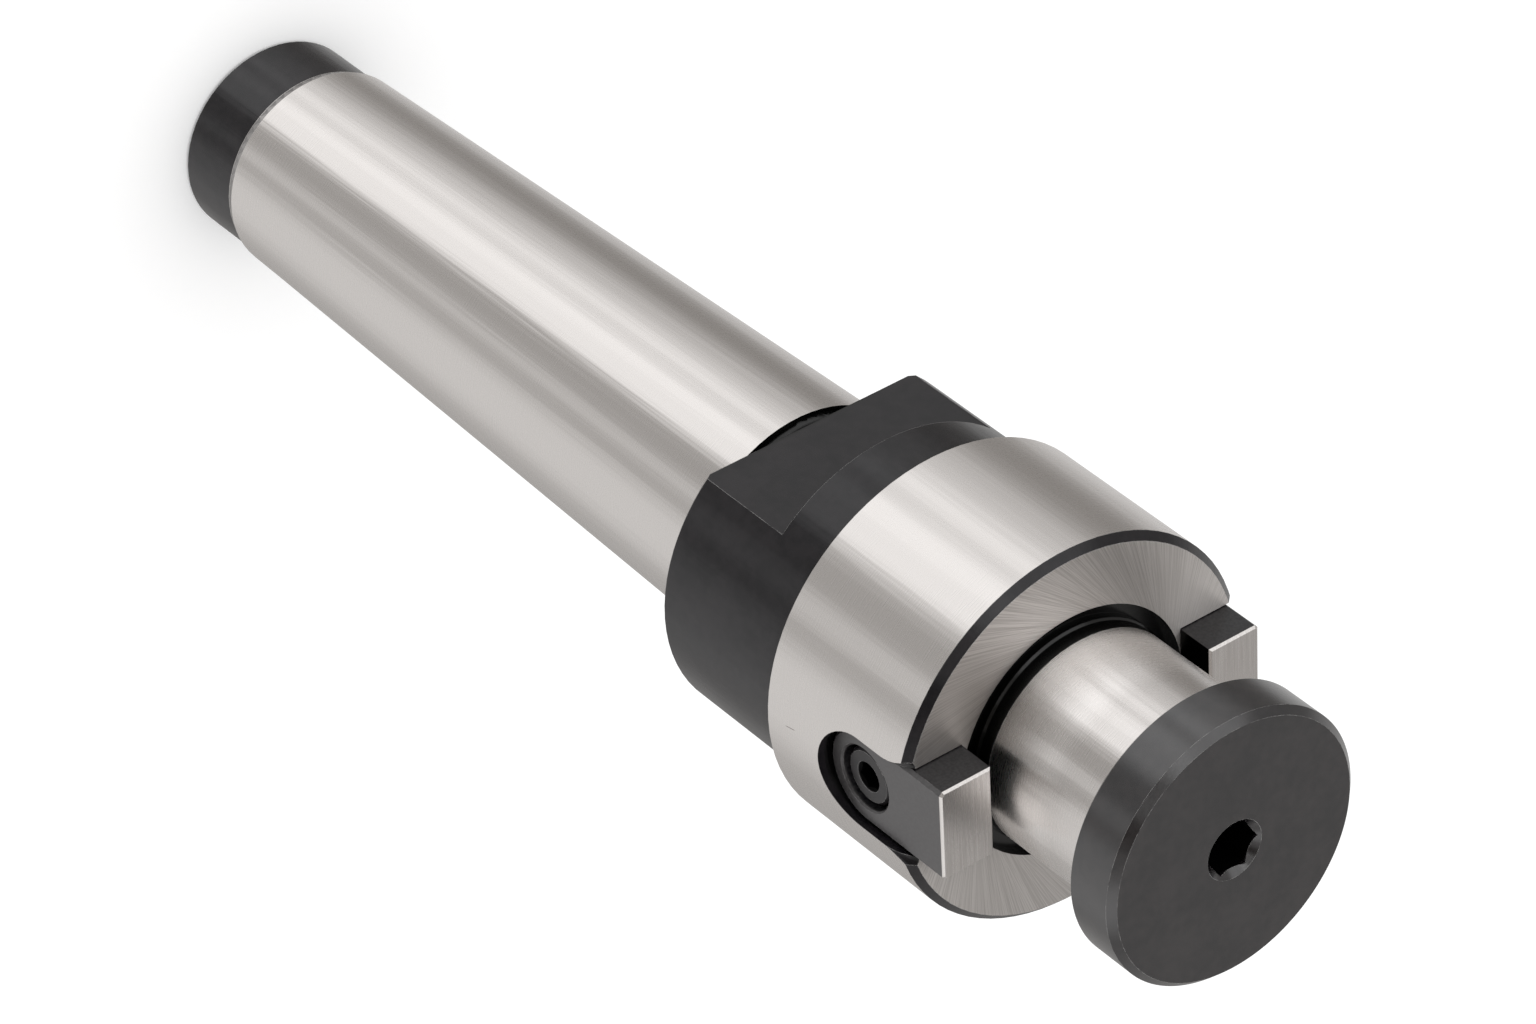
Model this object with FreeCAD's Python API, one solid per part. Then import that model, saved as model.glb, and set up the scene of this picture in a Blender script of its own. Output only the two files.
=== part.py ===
import FreeCAD, Part
import math
import os

# Shell mill arbor: Morse taper 4 shank with drawbar thread, spigot for a face mill,
# two screwed-in drive keys and a clamping screw.
# Millimetres, +Z from the small end to the clamping screw, origin on the axis in the
# small end face, drive keys on X, wrench flats square to Y.

V = FreeCAD.Vector
UP = V(0, 0, 1)
DOWN = V(0, 0, -1)
ORIGIN = V(0, 0, 0)

# Morse taper 4, drawbar form
TAPER_RATE = 1 / 19.254          # change of diameter per length
GAUGE_R = 31.267 / 2             # radius on the gauge plane
GAUGE_Z = 102.5                  # small end to gauge plane
GAUGE_TO_SHOULDER = 6.5          # gauge plane to the collar's rear face

# Turned-down small end
BAND_LENGTH = 9.5
BAND_STEP = 0.47                 # below the taper
BAND_CHAMFER = 0.5
LEAD_LENGTH = 1.2                # short lead-in cone from the band up to the taper

# Neck groove between taper and collar
NECK_WIDTH = 2.2
NECK_DEPTH = 1.15
NECK_FILLET = 0.6                # against the taper's end
NECK_CHAMFER = 0.4               # against the collar

# Collar with two wrench flats
COLLAR_LENGTH = 22.0
COLLAR_R = 21.75
COLLAR_CHAMFER = 0.5
FLATS_ACROSS = 32.0
FLATS_LENGTH = 14.0

# Flange that drives and seats the cutter
FLANGE_THICKNESS = 23.5
FLANGE_REAR_CHAMFER = 0.3
FLANGE_CHAMFER = 0.9

# Spigot that centres the cutter, on a wider root that a bevel ends level with the face
SPIGOT_R = 13.5
SPIGOT_LENGTH = 20.0
SPIGOT_CHAMFER = 0.8
ROOT_STEP = 0.25

# Recess in the face round the spigot
RECESS_WIDTH = 2.0
RECESS_DEPTH = 1.3

# Drive keys and their slots, which set the flange's radius
KEY_WIDTH = 12.0
KEY_THICKNESS = 7.0
KEY_TO_SPIGOT = 1.8              # slot floor beyond the spigot's radius
KEY_SETBACK = 1.7                # outer face inside the flange's radius
KEY_CENTRE_BACK = 8.3            # rounded end's centre and the screw, behind the face
KEY_PROJECTION = 5.0
KEY_CHAMFER = 0.42               # round the outer face
KEY_FRONT_CHAMFER = 0.27
KEY_BORE_CHAMFER = 0.2
SLOT_GAP = 0.13                  # each side of the key and round its rear end

# Hollow flare where a slot's wall meets the face and the outer surface
FLARE_LENGTH = 4.4
FLARE_R = 1.55

# Key screws, M4 socket head
KEY_SCREW_R = 2.0
KEY_SCREW_HEAD_R = 3.5
KEY_SCREW_HEAD_HEIGHT = 4.0
KEY_SCREW_SUNK = 0.5             # head top below the key's outer face
KEY_SCREW_IN_BODY = 6.0
KEY_SCREW_CHAMFER = 0.35
KEY_SCREW_HEX = 3.0
KEY_SCREW_HEX_DEPTH = 2.0
KEY_SCREW_HEX_CHAMFER = 0.15     # socket mouth beyond the hexagon's corners
KEY_SCREW_TURN = 18.0            # degrees that the socket stands turned from the arbor's axis
COUNTERBORE_CLEARANCE = 0.5
KEY_HOLE_CLEARANCE = 0.25        # plain hole through the key

# Threaded holes are plain bores just clear of the plain screw shanks
THREAD_CLEARANCE = 0.05
TIP_CLEARANCE = 1.0              # key screw hole beyond the screw's tip

# Clamping screw, M12 with a disc head
CLAMP_HEAD_R = 17.1
CLAMP_HEAD_HEIGHT = 6.8
CLAMP_HEAD_CHAMFER = 0.85
CLAMP_HEAD_REAR_CHAMFER = 0.2
CLAMP_SHANK_R = 6.0
CLAMP_SHANK_LENGTH = 24.0
CLAMP_TIP_CHAMFER = 1.0
CLAMP_HEX = 6.0
CLAMP_HEX_DEPTH = 6.0
CLAMP_HEX_CHAMFER = 0.3          # socket mouth beyond the hexagon's corners
CLAMP_HEX_DRILL_INSET = 0.3      # pilot drill inside the hexagon's flats
CLAMP_HOLE_SPARE = 10.0          # hole beyond the screw's tip
CLAMP_HOLE_CHAMFER = 0.8

# Drawbar hole, M16 at its tapping diameter, with a 60 degree centre
DRAWBAR_HOLE_R = 7.0
DRAWBAR_HOLE_DEPTH = 42.0
CENTRE_WIDTH = 1.6
CENTRE_HALF_ANGLE = math.radians(30)

DRILL_POINT_HALF_ANGLE = math.radians(59)
OVERCUT = 1.0                    # how far a cutting tool runs past an open face
SAME = 1e-4                      # lengths closer than this are the same edge

SHOULDER_Z = GAUGE_Z + GAUGE_TO_SHOULDER
TAPER_TOP_Z = SHOULDER_Z - NECK_WIDTH
FLANGE_REAR_Z = SHOULDER_Z + COLLAR_LENGTH
FACE_Z = FLANGE_REAR_Z + FLANGE_THICKNESS
SPIGOT_END_Z = FACE_Z + SPIGOT_LENGTH
RECESS_FLOOR_Z = FACE_Z - RECESS_DEPTH
ROOT_R = SPIGOT_R + ROOT_STEP
RECESS_R = SPIGOT_R + RECESS_WIDTH
KEY_INNER = SPIGOT_R + KEY_TO_SPIGOT
KEY_OUTER = KEY_INNER + KEY_THICKNESS
FLANGE_R = KEY_OUTER + KEY_SETBACK
KEY_CENTRE_Z = FACE_Z - KEY_CENTRE_BACK
KEY_FRONT_Z = FACE_Z + KEY_PROJECTION
SLOT_HALF = KEY_WIDTH / 2 + SLOT_GAP
COUNTERBORE_R = KEY_SCREW_HEAD_R + COUNTERBORE_CLEARANCE
KEY_SCREW_TOP = KEY_OUTER - KEY_SCREW_SUNK
KEY_SCREW_SEAT = KEY_SCREW_TOP - KEY_SCREW_HEAD_HEIGHT
KEY_SCREW_TIP = KEY_INNER - KEY_SCREW_IN_BODY
CLAMP_TOP_Z = SPIGOT_END_Z + CLAMP_HEAD_HEIGHT
CLAMP_TIP_Z = SPIGOT_END_Z - CLAMP_SHANK_LENGTH


def taper_r(z):
    """Radius of the Morse taper at height z."""
    return GAUGE_R + (z - GAUGE_Z) * TAPER_RATE / 2


def turned(outline):
    """Solid of revolution about Z; outline is a closed list of (radius, height)."""
    points = [V(r, 0, z) for r, z in outline]
    points.append(points[0])
    return Part.Face(Part.makePolygon(points)).revolve(ORIGIN, UP, 360)


def circles(solid, axis, radius, place):
    """Circular edges round the axis with this radius whose plane is at this place along it."""
    found = []
    for edge in solid.Edges:
        curve = edge.Curve
        if not isinstance(curve, Part.Circle) or abs(abs(curve.Axis.dot(axis)) - 1) > SAME:
            continue
        if abs(curve.Radius - radius) < SAME and abs(curve.Center.dot(axis) - place) < SAME:
            found.append(edge)
    return found


def drilled(radius, depth, start, direction):
    """Tool for a drilled blind hole: a cylinder with a drill point beyond its depth."""
    point = radius / math.tan(DRILL_POINT_HALF_ANGLE)
    hole = Part.makeCylinder(radius, depth, start, direction)
    tip = Part.makeCone(radius, 0, point, start + direction * depth, direction)
    return hole.fuse(tip)


def socket(across, depth, mouth_chamfer, top_z):
    """Tool for a hexagon socket sunk from top_z, its corners bevelled by a 90 degree cone."""
    corner = across / math.sqrt(3)
    ring = []
    for i in range(7):
        angle = math.radians(60 * i)
        ring.append(V(corner * math.cos(angle), corner * math.sin(angle), top_z))
    prism = Part.Face(Part.makePolygon(ring)).extrude(DOWN * depth)
    mouth_r = corner + mouth_chamfer
    mouth = Part.makeCone(mouth_r, 0, mouth_r, V(0, 0, top_z), DOWN)
    return prism, mouth


def key_outline(half_width, front_z, inner, outer):
    """Prism along +X with a flat front and a round rear end centred on the key screw."""
    low = V(inner, -half_width, KEY_CENTRE_Z)
    back = V(inner, 0, KEY_CENTRE_Z - half_width)
    high = V(inner, half_width, KEY_CENTRE_Z)
    low_front = V(inner, -half_width, front_z)
    high_front = V(inner, half_width, front_z)
    wire = Part.Wire([
        Part.makeLine(low_front, low),
        Part.Arc(low, back, high).toShape(),
        Part.makeLine(high, high_front),
        Part.makeLine(high_front, low_front),
    ])
    return Part.Face(wire).extrude(V(outer - inner, 0, 0))


def pair(shape):
    """The shape turned half round the axis, and the shape itself."""
    turned_round = shape.copy()
    turned_round.rotate(ORIGIN, UP, 180)
    return [turned_round, shape]


def body_outline():
    """Outline of the turned body without its holes, from the small end upwards."""
    band_r = taper_r(BAND_LENGTH) - BAND_STEP
    lead_z = BAND_LENGTH + LEAD_LENGTH
    neck_r = taper_r(TAPER_TOP_Z) - NECK_DEPTH
    return [
        (0, 0),
        (band_r - BAND_CHAMFER, 0),
        (band_r, BAND_CHAMFER),
        (band_r, BAND_LENGTH),
        (taper_r(lead_z), lead_z),
        (taper_r(TAPER_TOP_Z), TAPER_TOP_Z),
        (neck_r, TAPER_TOP_Z),
        (neck_r, SHOULDER_Z - NECK_CHAMFER),
        (neck_r + NECK_CHAMFER, SHOULDER_Z),
        (COLLAR_R - COLLAR_CHAMFER, SHOULDER_Z),
        (COLLAR_R, SHOULDER_Z + COLLAR_CHAMFER),
        (COLLAR_R, FLANGE_REAR_Z),
        (FLANGE_R - FLANGE_REAR_CHAMFER, FLANGE_REAR_Z),
        (FLANGE_R, FLANGE_REAR_Z + FLANGE_REAR_CHAMFER),
        (FLANGE_R, FACE_Z - FLANGE_CHAMFER),
        (FLANGE_R - FLANGE_CHAMFER, FACE_Z),
        (RECESS_R, FACE_Z),
        (RECESS_R, RECESS_FLOOR_Z),
        (ROOT_R, RECESS_FLOOR_Z),
        (ROOT_R, FACE_Z - ROOT_STEP),
        (SPIGOT_R, FACE_Z),
        (SPIGOT_R, SPIGOT_END_Z - SPIGOT_CHAMFER),
        (SPIGOT_R - SPIGOT_CHAMFER, SPIGOT_END_Z),
        (0, SPIGOT_END_Z),
    ]


def turned_body():
    """The turned body with the neck groove's fillet."""
    body = turned(body_outline())
    neck_r = taper_r(TAPER_TOP_Z) - NECK_DEPTH
    return body.makeFillet(NECK_FILLET, circles(body, UP, neck_r, TAPER_TOP_Z))


def wrench_flats():
    """Two blocks that leave the collar FLATS_ACROSS wide over FLATS_LENGTH."""
    corner = V(-COLLAR_R - OVERCUT, FLATS_ACROSS / 2, SHOULDER_Z - OVERCUT)
    width = 2 * (COLLAR_R + OVERCUT)
    return pair(Part.makeBox(width, COLLAR_R, FLATS_LENGTH + OVERCUT, corner))


def flare():
    """Trumpet about Z that starts tangent to the axis and opens to FLARE_R at the face."""
    bend_r = (FLARE_LENGTH ** 2 + FLARE_R ** 2) / (2 * FLARE_R)
    half = FLARE_LENGTH / 2
    start = V(0, 0, FACE_Z - FLARE_LENGTH)
    middle = V(bend_r - math.sqrt(bend_r ** 2 - half ** 2), 0, FACE_Z - half)
    rim = V(FLARE_R, 0, FACE_Z)
    centre = V(0, 0, FACE_Z)
    wire = Part.Wire([
        Part.Arc(start, middle, rim).toShape(),
        Part.makeLine(rim, centre),
        Part.makeLine(centre, start),
    ])
    return Part.Face(wire).revolve(ORIGIN, UP, 360)


def key_slots():
    """Slots for the keys, open at the face, each with a flare at both outer corners."""
    slot = key_outline(SLOT_HALF, FACE_Z + OVERCUT, KEY_INNER, FLANGE_R + OVERCUT)
    corner_x = math.sqrt(FLANGE_R ** 2 - SLOT_HALF ** 2)
    cuts = pair(slot)
    for side in (-1, 1):
        corner = flare()
        corner.translate(V(corner_x, side * SLOT_HALF, 0))
        cuts.extend(pair(corner))
    return cuts


def key_screw_holes():
    """Blind holes for the key screws, from the slot floors towards the axis."""
    depth = KEY_SCREW_IN_BODY + TIP_CLEARANCE
    start = V(KEY_INNER, 0, KEY_CENTRE_Z)
    return pair(drilled(KEY_SCREW_R + THREAD_CLEARANCE, depth, start, V(-1, 0, 0)))


def axis_holes():
    """Clamping screw hole from the spigot end and drawbar hole from the small end."""
    clamp_r = CLAMP_SHANK_R + THREAD_CLEARANCE
    clamp = drilled(clamp_r, CLAMP_SHANK_LENGTH + CLAMP_HOLE_SPARE, V(0, 0, SPIGOT_END_Z), DOWN)
    mouth_r = clamp_r + CLAMP_HOLE_CHAMFER
    mouth = Part.makeCone(mouth_r, clamp_r, CLAMP_HOLE_CHAMFER, V(0, 0, SPIGOT_END_Z), DOWN)
    drawbar = drilled(DRAWBAR_HOLE_R, DRAWBAR_HOLE_DEPTH, ORIGIN, UP)
    centre_depth = CENTRE_WIDTH / math.tan(CENTRE_HALF_ANGLE)
    centre = Part.makeCone(DRAWBAR_HOLE_R + CENTRE_WIDTH, DRAWBAR_HOLE_R, centre_depth)
    return [clamp, mouth, drawbar, centre]


def arbor_body():
    body = turned_body()
    for cut in wrench_flats() + key_slots() + key_screw_holes() + axis_holes():
        body = body.cut(cut)
    return body


def drive_key():
    """Key for the +X slot: rounded rear, bevelled edges, counterbored for its screw."""
    key = key_outline(KEY_WIDTH / 2, KEY_FRONT_Z, KEY_INNER, KEY_OUTER)
    boxes = [(edge, edge.BoundBox) for edge in key.Edges]
    outer = [edge for edge, box in boxes if box.XMin > KEY_OUTER - SAME and box.ZMin < KEY_FRONT_Z - SAME]
    key = key.makeChamfer(KEY_CHAMFER, outer)
    front = [edge for edge in key.Edges if edge.BoundBox.ZMin > KEY_FRONT_Z - SAME]
    key = key.makeChamfer(KEY_FRONT_CHAMFER, front)
    out = V(1, 0, 0)
    counterbore = Part.makeCylinder(COUNTERBORE_R, KEY_OUTER, V(KEY_SCREW_SEAT, 0, KEY_CENTRE_Z), out)
    hole = Part.makeCylinder(KEY_SCREW_R + KEY_HOLE_CLEARANCE, KEY_OUTER, V(0, 0, KEY_CENTRE_Z), out)
    key = key.cut(counterbore).cut(hole)
    return key.makeChamfer(KEY_BORE_CHAMFER, circles(key, out, COUNTERBORE_R, KEY_OUTER))


def key_screw():
    """Socket-head screw along X, seated in the +X key's counterbore."""
    screw = turned([
        (0, KEY_SCREW_TIP),
        (KEY_SCREW_R - KEY_SCREW_CHAMFER, KEY_SCREW_TIP),
        (KEY_SCREW_R, KEY_SCREW_TIP + KEY_SCREW_CHAMFER),
        (KEY_SCREW_R, KEY_SCREW_SEAT),
        (KEY_SCREW_HEAD_R, KEY_SCREW_SEAT),
        (KEY_SCREW_HEAD_R, KEY_SCREW_TOP - KEY_SCREW_CHAMFER),
        (KEY_SCREW_HEAD_R - KEY_SCREW_CHAMFER, KEY_SCREW_TOP),
        (0, KEY_SCREW_TOP),
    ])
    for cut in socket(KEY_SCREW_HEX, KEY_SCREW_HEX_DEPTH, KEY_SCREW_HEX_CHAMFER, KEY_SCREW_TOP):
        screw = screw.cut(cut)
    screw.rotate(ORIGIN, UP, KEY_SCREW_TURN)
    screw.rotate(ORIGIN, V(0, 1, 0), 90)
    screw.translate(V(0, 0, KEY_CENTRE_Z))
    return screw


def clamping_screw():
    """Disc head on the spigot end with a hexagon socket, shank down into the spigot."""
    screw = turned([
        (0, CLAMP_TIP_Z),
        (CLAMP_SHANK_R - CLAMP_TIP_CHAMFER, CLAMP_TIP_Z),
        (CLAMP_SHANK_R, CLAMP_TIP_Z + CLAMP_TIP_CHAMFER),
        (CLAMP_SHANK_R, SPIGOT_END_Z),
        (CLAMP_HEAD_R - CLAMP_HEAD_REAR_CHAMFER, SPIGOT_END_Z),
        (CLAMP_HEAD_R, SPIGOT_END_Z + CLAMP_HEAD_REAR_CHAMFER),
        (CLAMP_HEAD_R, CLAMP_TOP_Z - CLAMP_HEAD_CHAMFER),
        (CLAMP_HEAD_R - CLAMP_HEAD_CHAMFER, CLAMP_TOP_Z),
        (0, CLAMP_TOP_Z),
    ])
    for cut in socket(CLAMP_HEX, CLAMP_HEX_DEPTH, CLAMP_HEX_CHAMFER, CLAMP_TOP_Z):
        screw = screw.cut(cut)
    pilot_r = CLAMP_HEX / 2 - CLAMP_HEX_DRILL_INSET
    return screw.cut(drilled(pilot_r, CLAMP_HEX_DEPTH, V(0, 0, CLAMP_TOP_Z), DOWN))


def save(shape, name):
    shape.exportStep("parts/" + name + ".step")


os.makedirs("parts", exist_ok=True)
save(arbor_body(), "arbor_body")
for maker, name in ((drive_key, "drive_key"), (key_screw, "key_screw")):
    left, right = pair(maker())
    save(left, name + "_left")
    save(right, name + "_right")
save(clamping_screw(), "clamping_screw")
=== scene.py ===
"""The looks of the shell mill arbor: its finishes, its threads, the studio and the camera."""

import math

import bpy
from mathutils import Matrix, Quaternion, Vector

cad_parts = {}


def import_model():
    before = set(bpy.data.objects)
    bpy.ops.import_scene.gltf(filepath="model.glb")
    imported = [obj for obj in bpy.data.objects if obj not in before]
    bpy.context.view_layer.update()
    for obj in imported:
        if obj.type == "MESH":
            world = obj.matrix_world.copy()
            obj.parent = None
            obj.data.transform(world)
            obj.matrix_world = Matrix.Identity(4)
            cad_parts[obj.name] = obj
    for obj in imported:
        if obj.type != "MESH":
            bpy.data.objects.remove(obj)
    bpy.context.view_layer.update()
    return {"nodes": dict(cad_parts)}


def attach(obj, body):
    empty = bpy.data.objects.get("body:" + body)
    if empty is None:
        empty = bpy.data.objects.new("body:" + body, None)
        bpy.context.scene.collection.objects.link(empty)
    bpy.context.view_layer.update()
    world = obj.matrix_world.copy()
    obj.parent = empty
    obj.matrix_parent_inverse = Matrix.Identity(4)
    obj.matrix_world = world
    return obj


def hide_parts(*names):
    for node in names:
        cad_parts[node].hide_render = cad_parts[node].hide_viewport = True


MM = 0.001

# Camera
CAMERA_PLACE = (-0.364473, 0.470225, 0.609094)
CAMERA_AIM = (0.007527, -0.011073, 0.089510)
CAMERA_ROLL = 126.681
LENS = 161.38
SENSOR = 36.0
CAMERA_RANGE = (0.05, 20.0)

# Studio: upright strips that only reflections see; the sides mirror those below the horizon,
# which give way to those above it up to HORIZON_END, the upward part of a direction
STUDIO_LEVEL = (0.44, 0.43, 0.42)
STRIP_COLOUR = (1.0, 1.012, 1.025)
STRIPS_BELOW = (
    # azimuth, half width, soft edge, brightness
    (52.0, 8.0, 10.0, 0.27),
    (70.0, 6.0, 7.0, 0.36),
    (96.5, 24.5, 9.0, 0.80),
    (81.0, 1.5, 6.0, -0.55),
    (107.0, 2.0, 6.0, -0.14),
    (160.0, 6.0, 5.0, 0.27),
    (175.0, 4.0, 6.0, -0.10),
    (210.0, 30.0, 14.0, 0.34),
    (262.0, 12.0, 14.0, 0.06),
    (334.0, 14.0, 16.0, 0.30),
    (12.0, 14.0, 10.0, -0.16),
)
STRIPS_ABOVE = (
    (52.0, 8.0, 10.0, 0.75),
    (88.0, 22.0, 10.0, 0.68),
    (146.0, 36.0, 10.0, -0.34),
    (223.0, 10.0, 12.0, 0.60),
)
HORIZON_END = 0.35
FLOOR_WIDTH = 6.0
FLOOR_COLOUR = (0.9, 0.9, 0.9, 1.0)
FLOOR_LIFT = 0.16
LAMP_PLACE = (-0.2, 0.35, 1.7)
LAMP_AIM = (0.0, 0.0, 0.1)
LAMP_WIDTH = 1.2
LAMP_POWER = 4.0

# Zones of the arbor body along its axis and from its axis, in millimetres
BAND_TOP = 9.45
NECK = (106.0, 109.3)
NECK_R = 17.5
TAPER_TOP = 106.82
FLANGE_REAR = 131.02
FLANGE_R = 24.0
SLOTS = (132.0, 154.4)
SLOTS_R = 22.9
RECESS_FLOOR = 150.0
FACE = 154.5
FACE_INNER_R = 15.49
FACE_OUTER_R = 23.11
SPIGOT_START = 156.2
SPIGOT_FOOT_END = 166.0
OUTSIDE_R = 10.0
BORE_R = 8.5
BETWEEN_BORES = 90.0
DRAWBAR_PITCH = 2.0
CLAMP_PITCH = 1.75

# Marks on the arbor body, in millimetres; a count is of marks in a radian round the axis
RING_COUNT = 5.0
RING_PITCH = 0.10
STREAK_COUNT = 8.0
STREAK_LENGTH = 83.3
FINE_MARKS_COUNT = 180.0
FINE_MARKS_R = 13.9
COARSE_MARKS_COUNT = 100.0
COARSE_MARKS_R = 13.0
SCRATCH_START = (1.08, 134.5)
SCRATCH_LEAN = math.radians(10.7)
SCRATCH_LENGTH = 1.5
SCRATCH_WIDTH = 0.08
SCRATCH_X = -23.5

# Keys and their screws, in millimetres
KEY_FRONT = 159.5
KEY_FRONT_BEVEL = 0.25
KEY_OUTER_X = 22.3
KEY_OUTER_BEVEL = 0.38
KEY_INNER_X = 15.3
KEY_SCREW_Z = 146.2
KEY_SCREW_TOP = 21.8
KEY_SOCKET_R = 1.85

# Clamping screw, in millimetres
HEAD_R = 17.1
HEAD_SEAT = 174.5
HEAD_TOP = 181.3
HEAD_CHAMFER = 0.85
HEAD_REAR_CHAMFER = 0.2
SHANK_R = 6.0
SHANK_END = 150.5
SHANK_CHAMFER = 1.0
TIP_R = 0.5
THREAD_DEPTH = 1.0
THREAD_TOP = 172.8
THREAD_STEPS = 10
FLANK_SLOPE = 1.3
CREST_SHARE = 0.12
SOCKET_ACROSS = 6.0
SOCKET_DEPTH = 6.0
SOCKET_CHAMFER = 0.3
SOCKET_DRILL_R = 2.7
SOCKET_DRILL_DEPTH = 7.2
DRILL_POINT_R = 0.05
SOCKET_MOUTH = 0.85
SOCKET_ZONE_R = 3.85
SOCKET_ZONE_FLOOR = 173.0
SEGMENTS = 144
SHARP_ANGLE = math.radians(28)

# Colours
STEEL = (0.78, 0.75, 0.73, 1.0)
DULL_STEEL = (0.71, 0.68, 0.66, 1.0)
# A painted highlight on the spigot's foot
FOOT_HIGHLIGHT_STEEL = (0.88, 0.85, 0.83, 1.0)
FACE_STEEL = (0.77, 0.74, 0.72, 1.0)
DULL_FACE = (0.56, 0.535, 0.515, 1.0)
DULL_KEY_FRONT = (0.66, 0.63, 0.61, 1.0)
# Worn steel, which on the edges also stands in for their painted highlights
WORN_AND_GLINT_STEEL = (0.34, 0.33, 0.325, 1.0)
SCRATCH = (0.16, 0.13, 0.12, 1.0)
OXIDE = (0.0026, 0.0021, 0.0036, 1.0)
LIGHT_OXIDE = (0.0100, 0.0082, 0.0100, 1.0)
CLOUDY_OXIDE = (0.0130, 0.0105, 0.0115, 1.0)
# Painted shade for the recess, the key slots and the neck
RECESS_SHADE_BLACK = (0.001, 0.001, 0.001, 1.0)
# Painted shade for the screw sockets and the keys' inner face
SOCKET_SHADE_BLACK = (0.006, 0.006, 0.006, 1.0)
# Painted shade on the keys' outer face towards their rear
KEY_REAR_SHADE_GREY = (0.022, 0.020, 0.021, 1.0)
KEY_GREY = (0.058, 0.055, 0.056, 1.0)

# Gloss: where a roughness is a pair, a finish's patches or lines go from one to the other
OXIDE_IOR = 1.5
KEY_IOR = 1.55
CLAMP_IOR = 1.9
STEEL_ROUGHNESS = (0.34, 0.21)
FACE_EXTRA_ROUGHNESS = 0.17
GRAIN_STRENGTH = 0.82
OXIDE_ROUGHNESS = (0.20, 0.30)
HOLLOW_ROUGHNESS = 0.22
KEY_ROUGHNESS = (0.28, 0.40)
KEY_FRONT_ROUGHNESS = (0.34, 0.22)
KEY_SCREW_ROUGHNESS = (0.26, 0.38)
CLAMP_ROUGHNESS = (0.16, 0.26)
SOCKET_ROUGHNESS = 0.6

# Worn edges, painted lighter, which also paints their highlights: radius and size of the patches in
# millimetres, and where the patches start and end
ARBOR_WEAR_AND_GLINT = (0.09, 1.5, 0.25, 0.5)
KEY_WEAR_AND_GLINT = (0.05, 0.8, 0.4, 0.65)
SCREW_WEAR_AND_GLINT = (0.07, 0.8, 0.3, 0.6)

# Sizes of patches and heights of relief, in millimetres, and lines to a millimetre on each axis
PATCH_SIZE = 9.0
CLOUD_SIZES = (6.0, 1.2)
KEY_GRAIN_SIZE = 0.35
KEY_LINES = (6.0, 0.12, 6.0)
SCREW_GRAIN_SIZE = 0.3
MARKS_HEIGHT = 0.0003
STREAKS_HEIGHT = 0.045
BORE_THREAD_HEIGHT = 1.2
KEY_GRAIN_HEIGHT = 0.003
KEY_LINES_HEIGHT = 0.005
SCREW_GRAIN_HEIGHT = 0.005


# Node helpers
def add(tree, kind, inputs=None, **settings):
    """A node with its settings, its input values and its links."""
    node = tree.nodes.new(kind)
    for name, value in settings.items():
        setattr(node, name, value)
    for key, value in (inputs or {}).items():
        if isinstance(value, bpy.types.NodeSocket):
            tree.links.new(value, node.inputs[key])
        else:
            node.inputs[key].default_value = value
    return node


def calc(tree, operation, *values):
    return add(tree, "ShaderNodeMath", dict(enumerate(values)), operation=operation).outputs[0]


def scaled(tree, value, factor):
    return calc(tree, "MULTIPLY", value, factor)


def ramp(tree, value, low, high, start=0.0, end=1.0):
    """Goes smoothly from start to end as the value goes from low to high."""
    inputs = {"Value": value, "From Min": low, "From Max": high, "To Min": start, "To Max": end}
    node = add(tree, "ShaderNodeMapRange", inputs, interpolation_type="SMOOTHSTEP")
    return node.outputs[0]


def fall(tree, value, low, high):
    """1 up to low, 0 from high on."""
    return ramp(tree, value, low, high, 1.0, 0.0)


def within(tree, value, low, high, blur=0.03):
    """1 between low and high, 0 outside."""
    rise = ramp(tree, value, low - blur, low + blur)
    return calc(tree, "MULTIPLY", rise, fall(tree, value, high - blur, high + blur))


def all_of(tree, *masks):
    """1 where every mask is 1."""
    product = masks[0]
    for mask in masks[1:]:
        product = calc(tree, "MULTIPLY", product, mask)
    return product


def any_of(tree, *masks):
    """1 where at least one mask is 1."""
    largest = masks[0]
    for mask in masks[1:]:
        largest = calc(tree, "MAXIMUM", largest, mask)
    return largest


def blend(tree, factor, first, second):
    """A colour that goes from first to second."""
    inputs = {0: factor, 6: first, 7: second}
    return add(tree, "ShaderNodeMix", inputs, data_type="RGBA").outputs[2]


def level(tree, factor, first, second):
    """A number that goes from first to second."""
    inputs = {0: factor, 2: first, 3: second}
    return add(tree, "ShaderNodeMix", inputs, data_type="FLOAT").outputs[0]


def noise(tree, x, y, z, detail=2.0, roughness=0.5):
    """Noise over three numbers, one feature to a unit."""
    where = add(tree, "ShaderNodeCombineXYZ", {0: x, 1: y, 2: z}).outputs[0]
    inputs = {"Vector": where, "Scale": 1.0, "Detail": detail, "Roughness": roughness}
    return add(tree, "ShaderNodeTexNoise", inputs).outputs[0]


def distance(tree, x, y):
    """The length of the vector x, y."""
    squares = calc(tree, "ADD", calc(tree, "POWER", x, 2.0), calc(tree, "POWER", y, 2.0))
    return calc(tree, "SQRT", squares)


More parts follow.
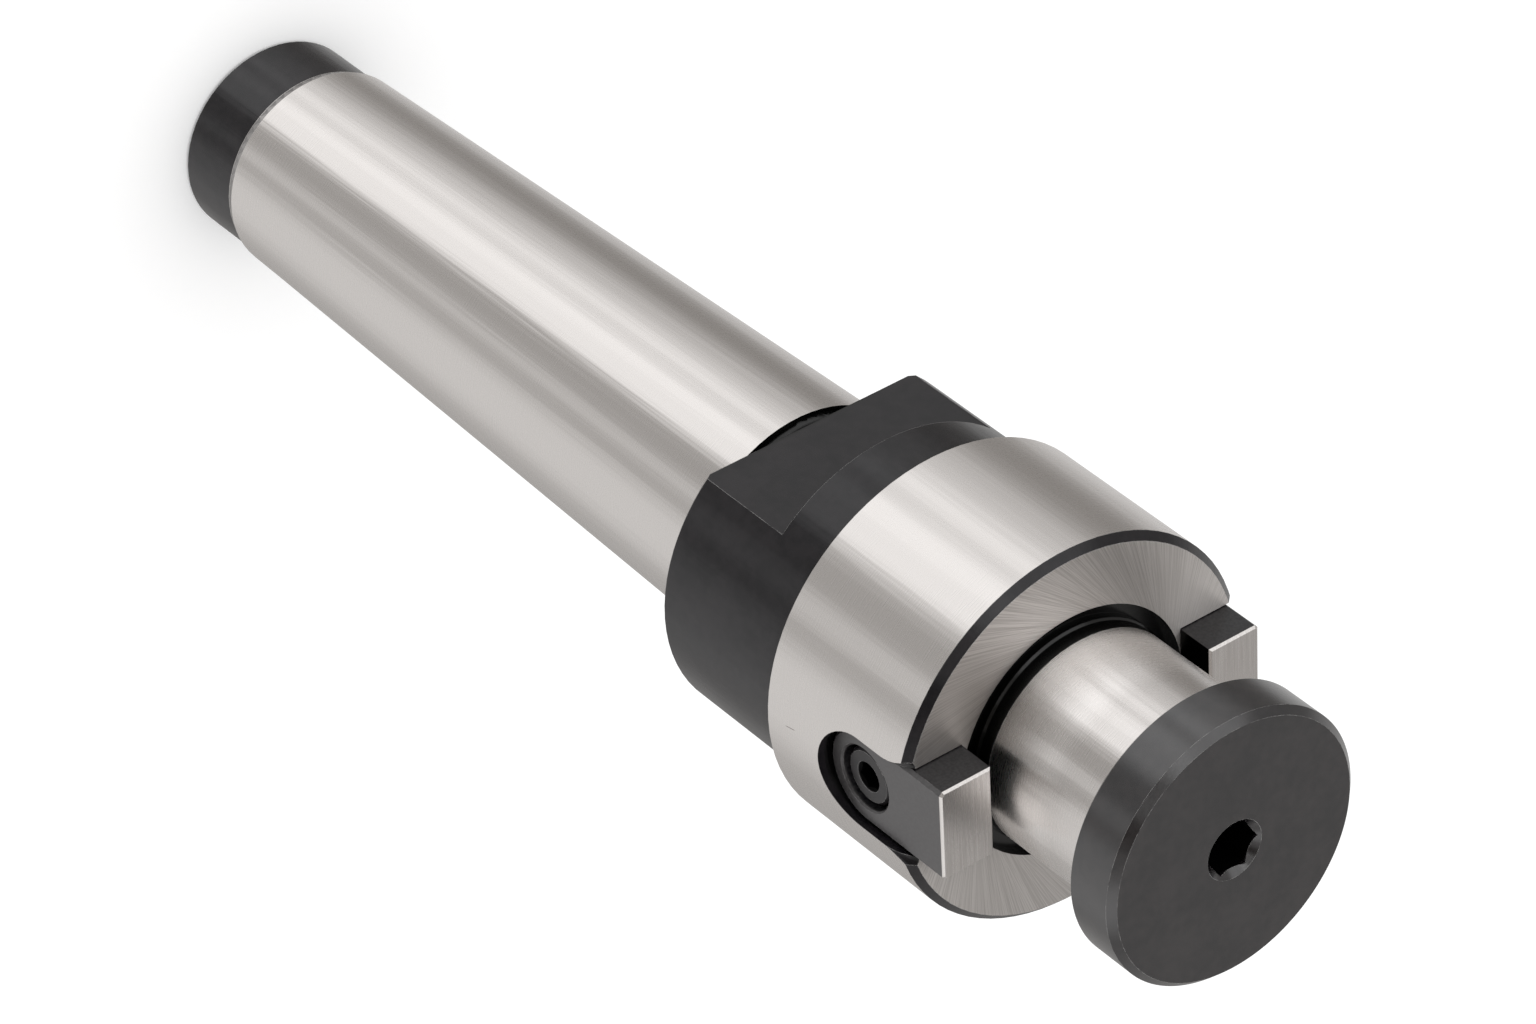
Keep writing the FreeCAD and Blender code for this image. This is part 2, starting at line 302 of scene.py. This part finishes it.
class Place:
    """Where a point of the surface is, in millimetres, and which way it faces."""

    def __init__(self, tree):
        at = add(tree, "ShaderNodeTexCoord").outputs["Object"]
        in_mm = add(tree, "ShaderNodeVectorMath", {0: at, 3: 1 / MM}, operation="SCALE")
        self.x, self.y, self.z = add(tree, "ShaderNodeSeparateXYZ", {0: in_mm.outputs[0]}).outputs
        self.radius = calc(tree, "MAXIMUM", distance(tree, self.x, self.y), 0.01)
        self.round_x = calc(tree, "DIVIDE", self.x, self.radius)
        self.round_y = calc(tree, "DIVIDE", self.y, self.radius)
        self.turn = scaled(tree, calc(tree, "ARCTAN2", self.y, self.x), 0.5 / math.pi)
        facing = add(tree, "ShaderNodeNewGeometry").outputs["True Normal"]
        out_x, out_y, up = add(tree, "ShaderNodeSeparateXYZ", {0: facing}).outputs
        self.endways = ramp(tree, calc(tree, "ABSOLUTE", up), 0.8, 0.95)
        out_y = calc(tree, "MULTIPLY", out_y, self.round_y)
        out = calc(tree, "MULTIPLY_ADD", out_x, self.round_x, out_y)
        self.outward = ramp(tree, out, 0.9, 0.95)


def side_marks(tree, place, count, length):
    """Marks on a round side, rings where length is small and streaks along the axis where large."""
    x, y = scaled(tree, place.round_x, count), scaled(tree, place.round_y, count)
    return noise(tree, x, y, scaled(tree, place.z, 1 / length), 3.0, 0.6)


def leaning_lines(tree, place, count, inner_r):
    """Fine straight marks on an end face, each of which would touch a circle of radius inner_r."""
    cos = calc(tree, "MINIMUM", calc(tree, "DIVIDE", inner_r, place.radius), 1.0)
    sin = calc(tree, "SINE", calc(tree, "ARCCOSINE", cos))
    x = calc(tree, "MULTIPLY_ADD", place.round_y, sin, calc(tree, "MULTIPLY", place.round_x, cos))
    across = calc(tree, "MULTIPLY", place.round_x, sin)
    y = calc(tree, "SUBTRACT", calc(tree, "MULTIPLY", place.round_y, cos), across)
    x, y = scaled(tree, x, count), scaled(tree, y, count)
    return noise(tree, x, y, scaled(tree, place.radius, 0.05), 2.0, 0.6)


def mottle(tree, place, size, detail=3.0):
    """Soft patches of a size in millimetres."""
    parts = [scaled(tree, value, 1 / size) for value in (place.x, place.y, place.z)]
    return noise(tree, *parts, detail, 0.55)


def clouds(tree, place, large, small):
    """Patches of two sizes laid over each other, as a soft mask."""
    both = calc(tree, "ADD", mottle(tree, place, large), mottle(tree, place, small, 4.0))
    return ramp(tree, scaled(tree, both, 0.5), 0.35, 0.65)


def thread_height(tree, place, pitch):
    """A thread's ridges round a bore, 0 in its groove and highest on its crest."""
    phase = calc(tree, "SUBTRACT", scaled(tree, place.z, 1 / pitch), place.turn)
    return calc(tree, "PINGPONG", phase, 0.5)


def edges(tree, place, radius, patch, low, high):
    """1 in patches along the sharp edges, where the finish is worn and painted lighter, which also
    paints the edges' highlights, and the rounded edge's normal.
    """
    rounded = add(tree, "ShaderNodeBevel", {"Radius": radius * MM}, samples=4).outputs[0]
    facing = add(tree, "ShaderNodeNewGeometry").outputs["Normal"]
    inputs = {0: rounded, 1: facing}
    along = add(tree, "ShaderNodeVectorMath", inputs, operation="DOT_PRODUCT").outputs[1]
    worn = ramp(tree, along, 0.995, 0.93)
    return all_of(tree, worn, ramp(tree, mottle(tree, place, patch), low, high)), rounded


def new_material(name, ior):
    """A material with only its shader; the index of refraction sets how glossy its oxide is."""
    material = bpy.data.materials.new(name)
    material.use_nodes = True
    tree = material.node_tree
    tree.nodes.clear()
    shader = add(tree, "ShaderNodeBsdfPrincipled", {"IOR": ior})
    add(tree, "ShaderNodeOutputMaterial", {0: shader.outputs[0]})
    return material, tree, shader


def finish(tree, shader, colour, metallic, roughness, height, normal):
    """Joins a finish to its shader; the height of its relief is in millimetres."""
    inputs = {"Height": height, "Distance": MM, "Strength": 1.0, "Normal": normal}
    relief = add(tree, "ShaderNodeBump", inputs).outputs[0]
    tree.links.new(colour, shader.inputs["Base Color"])
    tree.links.new(metallic, shader.inputs["Metallic"])
    tree.links.new(roughness, shader.inputs["Roughness"])
    tree.links.new(relief, shader.inputs["Normal"])


# Finishes
def ground_zones(tree, place):
    """1 where the arbor body is ground bright: taper, flange, its face and the spigot."""
    outside = ramp(tree, place.radius, OUTSIDE_R, OUTSIDE_R + 0.2)
    taper = all_of(tree, within(tree, place.z, BAND_TOP, TAPER_TOP), outside)
    rim = ramp(tree, place.radius, FLANGE_R - 0.5, FLANGE_R - 0.3)
    flange = all_of(tree, within(tree, place.z, FLANGE_REAR, FACE), rim)
    sides = all_of(tree, any_of(tree, taper, flange), place.outward)
    ring = within(tree, place.radius, FACE_INNER_R, FACE_OUTER_R, 0.01)
    face = within(tree, place.z, FACE - 0.05, FACE + 0.05, 0.01)
    face = all_of(tree, face, ring, place.endways)
    spigot = ramp(tree, place.z, SPIGOT_START - 0.05, SPIGOT_START + 0.05)
    return any_of(tree, sides, face, all_of(tree, spigot, outside))


def shaded_hollows(tree, place):
    """1 in the recess round the spigot, the key slots and the neck, which are painted darkest as
    shade.
    """
    recess = within(tree, place.z, RECESS_FLOOR, SPIGOT_START)
    inside = fall(tree, place.radius, FACE_INNER_R - 0.05, FACE_INNER_R + 0.05)
    slots = within(tree, place.z, *SLOTS)
    under_rim = fall(tree, place.radius, SLOTS_R, SLOTS_R + 0.3)
    neck = within(tree, place.z, *NECK)
    narrow = fall(tree, place.radius, NECK_R, NECK_R + 0.5)
    recess = all_of(tree, recess, inside)
    slots = all_of(tree, slots, under_rim)
    return any_of(tree, recess, slots, all_of(tree, neck, narrow))


def scratch(tree, place):
    """1 on the small scratch on the flange's side, at -X."""
    start_y, start_z = SCRATCH_START
    y = calc(tree, "SUBTRACT", place.y, start_y)
    z = calc(tree, "SUBTRACT", place.z, start_z)
    cos, sin = math.cos(SCRATCH_LEAN), math.sin(SCRATCH_LEAN)
    along = calc(tree, "MULTIPLY_ADD", z, cos, scaled(tree, y, sin))
    across = calc(tree, "MULTIPLY_ADD", y, cos, scaled(tree, z, -sin))
    length = within(tree, along, 0.0, SCRATCH_LENGTH, 0.25)
    width = within(tree, across, -SCRATCH_WIDTH / 2, SCRATCH_WIDTH / 2)
    return all_of(tree, length, width, fall(tree, place.x, SCRATCH_X, SCRATCH_X + 0.5))


def spigot_foot_highlight(tree, place):
    """1 on the spigot's lower part, which is painted brighter as a highlight."""
    foot = fall(tree, place.z, SPIGOT_FOOT_END - 2.0, SPIGOT_FOOT_END + 1.5)
    return all_of(tree, foot, ramp(tree, place.z, FACE, SPIGOT_START), place.outward)


def bore_threads(tree, place):
    """1 on the walls of the two bores, and the relief of their threads."""
    bore = fall(tree, place.radius, BORE_R - 0.1, BORE_R)
    walls = all_of(tree, bore, fall(tree, place.endways, 0.1, 0.9))
    drawbar = thread_height(tree, place, DRAWBAR_PITCH)
    clamp = thread_height(tree, place, CLAMP_PITCH)
    upper = ramp(tree, place.z, BETWEEN_BORES, BETWEEN_BORES + 1.0)
    return walls, scaled(tree, level(tree, upper, drawbar, clamp), BORE_THREAD_HEIGHT)


def grain_direction(tree, place):
    """The grain's direction: round the axis on the sides, out from it on the end faces."""
    sides = add(tree, "ShaderNodeTangent", direction_type="RADIAL", axis="Z").outputs[0]
    out = add(tree, "ShaderNodeCombineXYZ", {0: place.round_x, 1: place.round_y}).outputs[0]
    settings = {"vector_type": "VECTOR", "convert_from": "OBJECT", "convert_to": "WORLD"}
    ends = add(tree, "ShaderNodeVectorTransform", {0: out}, **settings).outputs[0]
    inputs = {0: place.endways, 4: sides, 5: ends}
    return add(tree, "ShaderNodeMix", inputs, data_type="VECTOR").outputs[1]


def arbor_finish():
    """Ground steel with black oxide left between the ground zones, and threads in the two bores."""
    material, tree, shader = new_material("arbor_finish", OXIDE_IOR)
    place = Place(tree)
    ground = ground_zones(tree, place)
    shaded_hollow = shaded_hollows(tree, place)

    # Marks: rings on the sides, leaning lines on the end faces
    rings = side_marks(tree, place, RING_COUNT, RING_PITCH)
    fine = leaning_lines(tree, place, FINE_MARKS_COUNT, FINE_MARKS_R)
    coarse = leaning_lines(tree, place, COARSE_MARKS_COUNT, COARSE_MARKS_R)
    leaning = scaled(tree, calc(tree, "ADD", fine, coarse), 0.5)
    lines = level(tree, place.endways, rings, leaning)
    low = level(tree, place.endways, 0.3, 0.4)
    sharp = ramp(tree, lines, low, calc(tree, "SUBTRACT", 1.0, low))
    shine = level(tree, level(tree, place.endways, 0.06, 0.75), 0.5, sharp)

    # Colour
    dull = blend(tree, place.endways, DULL_STEEL, DULL_FACE)
    bright = blend(tree, shine, dull, blend(tree, place.endways, STEEL, FACE_STEEL))
    # Painted highlight: the spigot's foot is painted brighter.
    bright = blend(tree, spigot_foot_highlight(tree, place), bright, FOOT_HIGHLIGHT_STEEL)
    bright = blend(tree, scratch(tree, place), bright, SCRATCH)
    scuffed_and_glinting, rounded = edges(tree, place, *ARBOR_WEAR_AND_GLINT)
    dark = blend(tree, clouds(tree, place, *CLOUD_SIZES), OXIDE, LIGHT_OXIDE)
    # Worn edges painted lighter, which also paints their highlights.
    dark = blend(tree, scuffed_and_glinting, dark, WORN_AND_GLINT_STEEL)
    # Painted shade: the recess, the key slots and the neck are painted near black.
    dark = blend(tree, shaded_hollow, dark, RECESS_SHADE_BLACK)
    colour = blend(tree, ground, dark, bright)

    # Roughness
    polished = level(tree, shine, *STEEL_ROUGHNESS)
    polished = calc(tree, "ADD", polished, scaled(tree, place.endways, FACE_EXTRA_ROUGHNESS))
    satin = level(tree, mottle(tree, place, PATCH_SIZE), *OXIDE_ROUGHNESS)
    satin = level(tree, shaded_hollow, satin, HOLLOW_ROUGHNESS)
    roughness = level(tree, ground, satin, polished)

    # Relief
    streaks = side_marks(tree, place, STREAK_COUNT, STREAK_LENGTH)
    streaks = calc(tree, "MULTIPLY", streaks, level(tree, place.endways, STREAKS_HEIGHT, 0.0))
    marks = calc(tree, "ADD", scaled(tree, lines, MARKS_HEIGHT), streaks)
    walls, thread = bore_threads(tree, place)
    height = level(tree, walls, marks, thread)

    finish(tree, shader, colour, ground, roughness, height, rounded)
    shader.inputs["Anisotropic"].default_value = GRAIN_STRENGTH
    shader.inputs["Anisotropic Rotation"].default_value = 0.25
    tree.links.new(grain_direction(tree, place), shader.inputs["Tangent"])
    return material


def key_finish():
    """Dark oxide keys with a greyer outer face, painted darker towards its rear as shade, an inner
    face painted near black as shade, and a front ground bright along the width.
    """
    material, tree, shader = new_material("key_finish", KEY_IOR)
    place = Place(tree)
    from_axis = calc(tree, "ABSOLUTE", place.x)
    front_start, outer_start = KEY_FRONT - KEY_FRONT_BEVEL, KEY_OUTER_X - KEY_OUTER_BEVEL
    front = ramp(tree, place.z, front_start - 0.04, front_start)
    outer = ramp(tree, from_axis, outer_start - 0.06, outer_start)
    inner = fall(tree, from_axis, KEY_INNER_X + 0.03, KEY_INNER_X + 0.08)
    ahead = ramp(tree, place.z, KEY_SCREW_Z - 5.0, KEY_SCREW_Z + 3.0)
    parts = zip((place.x, place.y, place.z), KEY_LINES)
    lines = noise(tree, *[scaled(tree, value, count) for value, count in parts], 3.0, 0.6)
    grain = mottle(tree, place, KEY_GRAIN_SIZE)
    scuffed_and_glinting, rounded = edges(tree, place, *KEY_WEAR_AND_GLINT)

    # Painted shade: the outer face is painted darker towards its rear, where the slot wall shades it.
    dark = blend(tree, outer, OXIDE, blend(tree, ahead, KEY_REAR_SHADE_GREY, KEY_GREY))
    dark = blend(tree, ramp(tree, grain, 0.3, 0.7, 0.0, 0.05), dark, WORN_AND_GLINT_STEEL)
    # Worn edges painted lighter, which also paints their highlights.
    dark = blend(tree, scuffed_and_glinting, dark, WORN_AND_GLINT_STEEL)
    # Painted shade: the key's inner face is painted near black.
    dark = blend(tree, inner, dark, SOCKET_SHADE_BLACK)
    bright = blend(tree, ramp(tree, lines, 0.3, 0.7), DULL_KEY_FRONT, STEEL)
    colour = blend(tree, front, dark, bright)
    satin = level(tree, grain, *KEY_ROUGHNESS)
    roughness = level(tree, front, satin, level(tree, lines, *KEY_FRONT_ROUGHNESS))
    relief = scaled(tree, grain, KEY_GRAIN_HEIGHT), scaled(tree, lines, KEY_LINES_HEIGHT)
    height = level(tree, front, *relief)
    finish(tree, shader, colour, any_of(tree, front, inner), roughness, height, rounded)
    return material


def clamp_socket(tree, place):
    """1 inside the clamping screw's socket, below its mouth."""
    near = fall(tree, place.radius, SOCKET_ZONE_R, SOCKET_ZONE_R + 0.1)
    mouth = HEAD_TOP - SOCKET_MOUTH
    deep = fall(tree, place.z, mouth, mouth + 0.1)
    return all_of(tree, near, deep, ramp(tree, place.z, SOCKET_ZONE_FLOOR, SOCKET_ZONE_FLOOR + 0.5))


def key_screw_socket(tree, place):
    """1 inside the key screws' sockets."""
    away = distance(tree, place.y, calc(tree, "SUBTRACT", place.z, KEY_SCREW_Z))
    near = fall(tree, away, KEY_SOCKET_R, KEY_SOCKET_R + 0.07)
    from_axis = calc(tree, "ABSOLUTE", place.x)
    return all_of(tree, near, fall(tree, from_axis, KEY_SCREW_TOP - 0.10, KEY_SCREW_TOP - 0.05))


def screw_finish(name, ior, gloss, sockets):
    """Black oxide on a screw: satin, worn and painted bright at its edges, which also paints their
    highlights, and painted near black in its socket as shade.
    """
    material, tree, shader = new_material(name, ior)
    place = Place(tree)
    grain = mottle(tree, place, SCREW_GRAIN_SIZE)
    scuffed_and_glinting, rounded = edges(tree, place, *SCREW_WEAR_AND_GLINT)
    socket = sockets(tree, place)
    colour = blend(tree, clouds(tree, place, *CLOUD_SIZES), OXIDE, CLOUDY_OXIDE)
    # Worn edges painted lighter, which also paints their highlights.
    colour = blend(tree, scuffed_and_glinting, colour, WORN_AND_GLINT_STEEL)
    # Painted shade: the socket is painted near black.
    colour = blend(tree, socket, colour, SOCKET_SHADE_BLACK)
    roughness = level(tree, socket, level(tree, grain, *gloss), SOCKET_ROUGHNESS)
    height = scaled(tree, grain, SCREW_GRAIN_HEIGHT)
    finish(tree, shader, colour, socket, roughness, height, rounded)
    return material


def dress(node, material):
    """Gives one finish to the whole of a CAD node."""
    for slot in node.material_slots:
        slot.material = material


# Clamping screw
def hexagon_r(angle):
    """Distance from the axis to the socket's wall, with a corner along X."""
    off_middle = (angle % (math.pi / 3)) - math.pi / 6
    return SOCKET_ACROSS / 2 / math.cos(off_middle)


def thread_r(angle, z):
    """Distance from the axis to the thread, which fades out at its top and is chamfered below."""
    phase = (z / CLAMP_PITCH - angle / (2 * math.pi)) % 1.0
    groove = FLANK_SLOPE - abs(phase - 0.5) * 2 * FLANK_SLOPE - CREST_SHARE
    groove = min(1.0, max(0.0, groove))
    fade = min(1.0, max(0.0, (THREAD_TOP - z) / CLAMP_PITCH))
    crest = min(SHANK_R, SHANK_R - SHANK_CHAMFER + (z - SHANK_END))
    return min(crest, SHANK_R - THREAD_DEPTH * groove * fade)


def screw_rings():
    """The rings of points that make up the screw, from the tip's centre to the socket's bottom."""
    angles = [2 * math.pi * i / SEGMENTS for i in range(SEGMENTS)]
    rings = []

    def shaped(radii, heights):
        places = zip(angles, radii, heights)
        rings.append([(r * math.cos(a), r * math.sin(a), z) for a, r, z in places])

    def ring(radius, z):
        shaped([radius] * SEGMENTS, [z] * SEGMENTS)

    ring(TIP_R, SHANK_END)
    steps = round((THREAD_TOP - SHANK_END) / CLAMP_PITCH * THREAD_STEPS)
    for i in range(steps + 1):
        z = SHANK_END + (THREAD_TOP - SHANK_END) * i / steps
        shaped([thread_r(a, z) for a in angles], [z] * SEGMENTS)
    ring(SHANK_R, HEAD_SEAT)
    ring(HEAD_R - HEAD_REAR_CHAMFER, HEAD_SEAT)
    ring(HEAD_R, HEAD_SEAT + HEAD_REAR_CHAMFER)
    ring(HEAD_R, HEAD_TOP - HEAD_CHAMFER)
    ring(HEAD_R - HEAD_CHAMFER, HEAD_TOP)
    mouth = SOCKET_ACROSS / math.sqrt(3) + SOCKET_CHAMFER
    ring(mouth, HEAD_TOP)
    walls = [hexagon_r(a) for a in angles]
    shaped(walls, [HEAD_TOP - (mouth - r) for r in walls])
    shaped(walls, [HEAD_TOP - SOCKET_DEPTH] * SEGMENTS)
    ring(SOCKET_DRILL_R, HEAD_TOP - SOCKET_DEPTH)
    ring(DRILL_POINT_R, HEAD_TOP - SOCKET_DRILL_DEPTH)
    return rings


def threaded_screw(material):
    """The clamping screw with its real thread, in place of its plain solid."""
    rings = screw_rings()
    points = [tuple(part * MM for part in point) for ring in rings for point in ring]
    faces = []
    for row in range(len(rings) - 1):
        low, high = row * SEGMENTS, (row + 1) * SEGMENTS
        for i in range(SEGMENTS):
            j = (i + 1) % SEGMENTS
            faces.append((low + i, low + j, high + j, high + i))
    faces.append(tuple(reversed(range(SEGMENTS))))
    last = (len(rings) - 1) * SEGMENTS
    faces.append(tuple(range(last, last + SEGMENTS)))
    mesh = bpy.data.meshes.new("clamping_screw_threaded")
    mesh.from_pydata(points, [], faces)
    mesh.shade_smooth()
    mesh.set_sharp_from_angle(angle=SHARP_ANGLE)
    mesh.materials.append(material)
    screw = bpy.data.objects.new("clamping_screw_threaded", mesh)
    bpy.context.scene.collection.objects.link(screw)
    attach(screw, "clamp_screw")
    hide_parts("clamping_screw")


# Studio
def aimed(name, data, place, target, roll=0.0):
    """A camera or a lamp at a place, turned to a target."""
    thing = bpy.data.objects.new(name, data)
    bpy.context.scene.collection.objects.link(thing)
    thing.location = place
    ahead = (Vector(target) - Vector(place)).to_track_quat("-Z", "Y")
    thing.rotation_mode = "QUATERNION"
    thing.rotation_quaternion = ahead @ Quaternion((0, 0, 1), math.radians(roll))
    return thing


def camera():
    """The camera at the photograph's viewing angle."""
    data = bpy.data.cameras.new("camera")
    data.lens = LENS
    data.sensor_width = SENSOR
    data.clip_start, data.clip_end = CAMERA_RANGE
    bpy.context.scene.camera = aimed("camera", data, CAMERA_PLACE, CAMERA_AIM, CAMERA_ROLL)


def strips(tree, x, y, placed):
    """Adds up the light of the strips in the direction x, y."""
    seen = 0.0
    for azimuth, half, soft, brightness in placed:
        turn = math.radians(azimuth)
        across = calc(tree, "MULTIPLY_ADD", x, math.cos(turn), scaled(tree, y, math.sin(turn)))
        outer = math.cos(math.radians(half + soft))
        inner = math.cos(math.radians(max(0.0, half - soft)))
        seen = calc(tree, "ADD", seen, ramp(tree, across, outer, inner, 0.0, brightness))
    return seen


def studio_world():
    """White all round, but reflections see the studio's strips in its place."""
    world = bpy.data.worlds.new("studio")
    bpy.context.scene.world = world
    world.use_nodes = True
    world.cycles.sampling_method = "NONE"
    tree = world.node_tree
    tree.nodes.clear()
    ahead = add(tree, "ShaderNodeTexCoord").outputs["Generated"]
    x, y, z = add(tree, "ShaderNodeSeparateXYZ", {0: ahead}).outputs
    length = calc(tree, "MAXIMUM", distance(tree, x, y), 0.001)
    x, y = calc(tree, "DIVIDE", x, length), calc(tree, "DIVIDE", y, length)
    above = ramp(tree, z, 0.0, HORIZON_END)
    seen = level(tree, above, strips(tree, x, y, STRIPS_BELOW), strips(tree, x, y, STRIPS_ABOVE))
    inputs = {0: STRIP_COLOUR, 3: seen}
    tint = add(tree, "ShaderNodeVectorMath", inputs, operation="SCALE").outputs[0]
    inputs = {0: STUDIO_LEVEL, 1: tint}
    studio = add(tree, "ShaderNodeVectorMath", inputs, operation="ADD").outputs[0]
    glossy = add(tree, "ShaderNodeLightPath").outputs["Is Glossy Ray"]
    colour = blend(tree, glossy, (1.0, 1.0, 1.0, 1.0), studio)
    light = add(tree, "ShaderNodeBackground", {"Color": colour})
    add(tree, "ShaderNodeOutputWorld", {0: light.outputs[0]})


def floor_paint():
    """Plain white paint, lifted to white for the camera."""
    material = bpy.data.materials.new("studio_floor")
    material.use_nodes = True
    tree = material.node_tree
    tree.nodes.clear()
    paint = add(tree, "ShaderNodeBsdfDiffuse", {"Color": FLOOR_COLOUR}).outputs[0]
    path = add(tree, "ShaderNodeLightPath").outputs
    kinds = ("Is Camera Ray", "Is Glossy Ray", "Is Transmission Ray")
    seen = any_of(tree, *[path[kind] for kind in kinds])
    lift = add(tree, "ShaderNodeEmission", {"Strength": scaled(tree, seen, FLOOR_LIFT)}).outputs[0]
    both = add(tree, "ShaderNodeAddShader", {0: paint, 1: lift}).outputs[0]
    add(tree, "ShaderNodeOutputMaterial", {0: both})
    return material


def studio_floor():
    """A plain floor that keeps the arbor's shadow and is left out of reflections."""
    half = FLOOR_WIDTH / 2
    corners = [(-half, -half, 0), (half, -half, 0), (half, half, 0), (-half, half, 0)]
    mesh = bpy.data.meshes.new("studio_floor")
    mesh.from_pydata(corners, [], [(0, 1, 2, 3)])
    mesh.materials.append(floor_paint())
    floor = bpy.data.objects.new("studio_floor", mesh)
    bpy.context.scene.collection.objects.link(floor)
    floor.visible_glossy = False


def studio_lamp():
    """One large soft lamp above, which gives the shadow its direction."""
    data = bpy.data.lights.new("softbox", "AREA")
    data.size = LAMP_WIDTH
    data.energy = LAMP_POWER
    aimed("softbox", data, LAMP_PLACE, LAMP_AIM)


def main():
    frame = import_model()
    nodes = frame["nodes"]
    keys = key_finish()
    key_screws = screw_finish("key_screw_finish", OXIDE_IOR, KEY_SCREW_ROUGHNESS, key_screw_socket)
    clamp = screw_finish("clamping_screw_finish", CLAMP_IOR, CLAMP_ROUGHNESS, clamp_socket)
    dress(nodes["arbor_body"], arbor_finish())
    for side in ("left", "right"):
        dress(nodes["drive_key_" + side], keys)
        dress(nodes["key_screw_" + side], key_screws)
    dress(nodes["clamping_screw"], clamp)
    threaded_screw(clamp)

    bpy.context.scene.view_settings.view_transform = "Standard"
    camera()
    studio_world()
    studio_floor()
    studio_lamp()


main()
